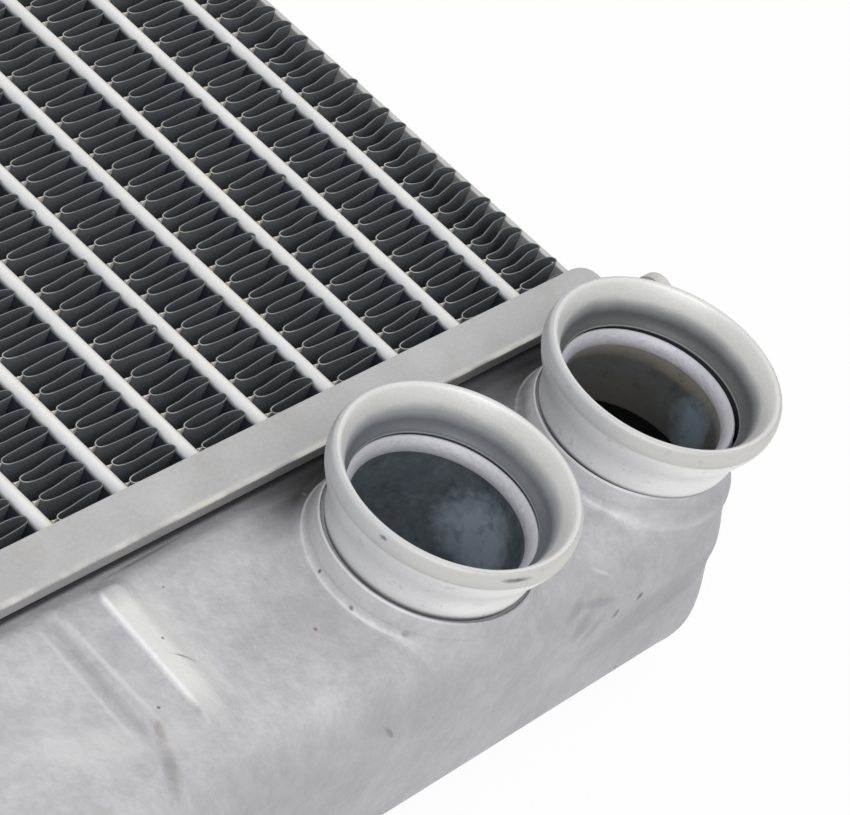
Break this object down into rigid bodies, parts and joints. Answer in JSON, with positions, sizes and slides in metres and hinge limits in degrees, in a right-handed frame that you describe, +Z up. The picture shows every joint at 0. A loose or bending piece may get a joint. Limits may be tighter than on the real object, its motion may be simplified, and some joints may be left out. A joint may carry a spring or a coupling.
{
  "type": "heater core",
  "caption": "Brazed aluminium heater core with flat tubes, corrugated fins, header plates, pressed tanks and two flared port collars.",
  "frame": {"origin": "middle of the underside, level with the header plates' lower flanges", "axes": "+X along the header plates towards the port end, +Y from the port tank to the return tank, +Z up out of the core's face and along the ports"},
  "size_m": [0.1512, 0.168, 0.0405],
  "materials": {
    "tube_aluminium": "bright brazed",
    "fin_aluminium": "dark coated sheet",
    "header_aluminium": "matte brazed",
    "tank_aluminium": "grainy matte",
    "collar_aluminium": "satin turned",
    "side_plate_aluminium": "matte",
    "inner_aluminium": "dull"
  },
  "bodies": {
    "root": {"far_port_collar": "collar_aluminium", "fin_01": "fin_aluminium", "fin_02": "fin_aluminium", "fin_03": "fin_aluminium", "fin_04": "fin_aluminium", "fin_05": "fin_aluminium", "fin_06": "fin_aluminium", "fin_07": "fin_aluminium", "fin_08": "fin_aluminium", "fin_09": "fin_aluminium", "fin_10": "fin_aluminium", "fin_11": "fin_aluminium", "fin_12": "fin_aluminium", "fin_13": "fin_aluminium", "fin_14": "fin_aluminium", "fin_15": "fin_aluminium", "flat_tube_01": "tube_aluminium", "flat_tube_02": "tube_aluminium", "flat_tube_03": "tube_aluminium", "flat_tube_04": "tube_aluminium", "flat_tube_05": "tube_aluminium", "flat_tube_06": "tube_aluminium", "flat_tube_07": "tube_aluminium", "flat_tube_08": "tube_aluminium", "flat_tube_09": "tube_aluminium", "flat_tube_10": "tube_aluminium", "flat_tube_11": "tube_aluminium", "flat_tube_12": "tube_aluminium", "flat_tube_13": "tube_aluminium", "flat_tube_14": "tube_aluminium", "front_header": "header_aluminium", "front_tank": "tank_aluminium", "left_side_plate": "side_plate_aluminium", "near_port_collar": "collar_aluminium", "rear_header": "header_aluminium", "rear_tank": "tank_aluminium", "right_side_plate": "side_plate_aluminium", "tank_divider": "inner_aluminium", "tank_partition": "inner_aluminium"}
  },
  "joints": []
}
